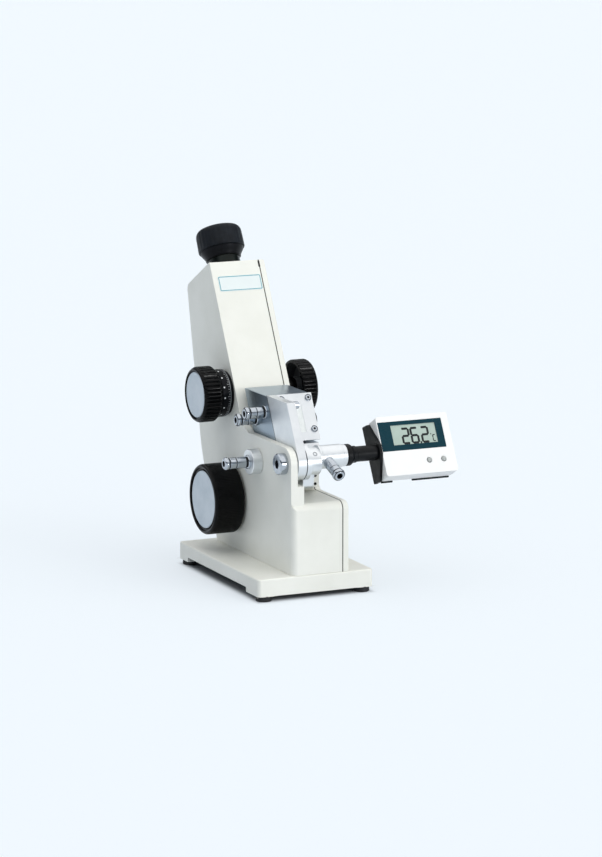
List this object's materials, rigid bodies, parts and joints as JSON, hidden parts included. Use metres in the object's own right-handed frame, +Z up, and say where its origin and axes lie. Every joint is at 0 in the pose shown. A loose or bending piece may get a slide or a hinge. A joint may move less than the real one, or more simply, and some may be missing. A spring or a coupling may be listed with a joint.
{
  "type": "abbe refractometer",
  "caption": "Bench refractometer with a hinged prism box, leaned column and eyepiece, side drive knobs, water hose nozzles and a digital thermometer.",
  "frame": {"origin": "middle of the base plate, on the surface that the feet stand on", "axes": "+X to the right seen from the prism side, where the thermometer sticks out; +Y back, towards the eyepiece; +Z up"},
  "size_m": [0.161, 0.2133, 0.2525],
  "materials": {
    "cream_paint": "semi-gloss stoved enamel on cast metal",
    "foot_rubber": "matt",
    "screw_steel": "satin",
    "brass_screw": "satin",
    "satin_aluminium": "fine satin, clear anodised",
    "prism_glass": "polished optical glass",
    "frosted_glass": "ground, translucent",
    "mirror_glass": "polished",
    "chrome_plate": "bright plate",
    "black_plastic": "fine matt",
    "white_plastic": "smooth satin",
    "dark_window": "glossy",
    "display_grey": "reflective display",
    "button_grey": "satin",
    "grey_disc": "satin",
    "black_anodised": "black anodised",
    "scale_ring": "dark satin with engraved marks",
    "eyecup_rubber": "soft matt"
  },
  "bodies": {
    "stand": {"base_plate": "cream_paint", "rubber_feet": "foot_rubber", "base_screws": "screw_steel", "housing_casting": "cream_paint", "housing_cover": "cream_paint", "cover_screws": "screw_steel", "scale_window": "frosted_glass", "refracting_prism_holder": "satin_aluminium", "refracting_prism": "prism_glass", "hinge_bolt": "chrome_plate", "lower_hose_connector": "chrome_plate", "thermometer_socket": "satin_aluminium", "socket_hose_connector": "chrome_plate", "thermometer_gland": "black_plastic", "shield_screw": "screw_steel", "reflector_bracket": "cream_paint", "index_bush": "brass_screw", "arm_pivot": "screw_steel", "compensator_bushes": "black_anodised", "telescope_barrel": "black_anodised", "objective_lens": "prism_glass", "eyepiece_tube": "black_anodised"},
    "calibration": {"calibration_screw": "brass_screw"},
    "lid": {"illuminating_prism_holder": "satin_aluminium", "illuminating_prism": "prism_glass", "frosted_window": "frosted_glass", "window_frame": "satin_aluminium", "lid_screws": "screw_steel", "hinge_arm": "satin_aluminium", "front_hose_connector": "chrome_plate", "rear_hose_connector": "chrome_plate"},
    "lock": {"lock_lever": "black_plastic"},
    "shield": {"light_shield": "satin_aluminium"},
    "reflector": {"reflector": "mirror_glass"},
    "index_drive": {"index_knob": "black_plastic", "index_knob_cap": "grey_disc", "index_shaft": "screw_steel"},
    "mirror": {"mirror_arm": "satin_aluminium", "swing_mirror": "mirror_glass", "scale_plate": "frosted_glass"},
    "compensator": {"compensator_shaft": "screw_steel", "dispersion_knob": "black_plastic", "dispersion_knob_cap": "grey_disc", "dispersion_scale_ring": "scale_ring", "right_knob": "black_plastic"},
    "lower_amici": {"lower_amici_cell": "brass_screw", "lower_amici_prism": "prism_glass"},
    "upper_amici": {"upper_amici_cell": "brass_screw", "upper_amici_prism": "prism_glass"},
    "eyepiece": {"dioptre_ring": "black_anodised", "eyepiece_cup": "eyecup_rubber"},
    "lens": {"lens_cell": "black_anodised", "eye_lens": "prism_glass"},
    "thermometer": {"thermometer_stem": "black_plastic", "thermometer_cradle": "black_plastic", "thermometer_case": "white_plastic", "display_window": "dark_window", "display_panel": "display_grey"},
    "left_key": {"left_button": "button_grey"},
    "right_key": {"right_button": "button_grey"}
  },
  "joints": [
    {"name": "lid_hinge", "type": "hinge", "parent": "stand", "child": "lid", "pos_m": [-0.0094, -0.0585, 0.0975], "axis": [1, 0, 0], "range_deg": [0, 115]},
    {"name": "lock_turn", "type": "hinge", "parent": "lid", "child": "lock", "pos_m": [0.0235, 0.002, 0.116], "axis": [1, 0, 0], "range_deg": [0, 74]},
    {"name": "shield_turn", "type": "hinge", "parent": "stand", "child": "shield", "pos_m": [0.0122, -0.03741, 0.101], "axis": [0, -0.8829, 0.4695], "range_deg": [0, 90]},
    {"name": "reflector_tilt", "type": "hinge", "parent": "stand", "child": "reflector", "pos_m": [0.006, -0.029, 0.077], "axis": [1, 0, 0], "range_deg": [-60, 60]},
    {"name": "calibration_turn", "type": "hinge", "parent": "stand", "child": "calibration", "pos_m": [0.0215, 0.08, 0.172], "axis": [1, 0, 0], "range_deg": [-90, 90]},
    {"name": "index_turn", "type": "hinge", "parent": "stand", "child": "index_drive", "pos_m": [-0.02, 0.0335, 0.0562], "axis": [1, 0, 0], "range_deg": [-70, 70]},
    {"name": "mirror_swing", "type": "hinge", "parent": "stand", "child": "mirror", "pos_m": [0, 0.0265, 0.066], "axis": [1, 0, 0], "range_deg": [-25.5, 25.5]},
    {"name": "compensator_turn", "type": "hinge", "parent": "stand", "child": "compensator", "pos_m": [0, 0.0476, 0.1328], "axis": [1, 0, 0], "continuous": true},
    {"name": "lower_amici_turn", "type": "hinge", "parent": "stand", "child": "lower_amici", "pos_m": [0.004, 0.05926, 0.1266], "axis": [0, 0.4695, 0.8829], "continuous": true},
    {"name": "upper_amici_turn", "type": "hinge", "parent": "stand", "child": "upper_amici", "pos_m": [0.004, 0.05926, 0.1266], "axis": [0, 0.4695, 0.8829], "continuous": true},
    {"name": "dioptre_turn", "type": "hinge", "parent": "stand", "child": "eyepiece", "pos_m": [0.004, 0.09748, 0.21619], "axis": [0, 0.4695, 0.8829], "range_deg": [-150, 150]},
    {"name": "lens_slide", "type": "slide", "parent": "stand", "child": "lens", "axis": [0, 0.4695, 0.8829], "range_m": [-0.0021, 0.0021]},
    {"name": "thermometer_swivel", "type": "hinge", "parent": "stand", "child": "thermometer", "pos_m": [0.03, -0.0585, 0.1], "axis": [1, 0, 0], "range_deg": [-90, 90]},
    {"name": "left_key_press", "type": "slide", "parent": "thermometer", "child": "left_key", "axis": [0, 0.8829, -0.4695], "range_m": [0, 0.0006], "stiffness_N_per_m": 300},
    {"name": "right_key_press", "type": "slide", "parent": "thermometer", "child": "right_key", "axis": [0, 0.8829, -0.4695], "range_m": [0, 0.0006], "stiffness_N_per_m": 300}
  ],
  "couplings": [
    {"joint": "mirror_swing", "follows": "index_turn", "ratio": -0.35632},
    {"joint": "lower_amici_turn", "follows": "compensator_turn", "ratio": 0.25},
    {"joint": "upper_amici_turn", "follows": "compensator_turn", "ratio": -0.25},
    {"joint": "lens_slide", "follows": "dioptre_turn", "m_per_rad": 0.00076394}
  ]
}
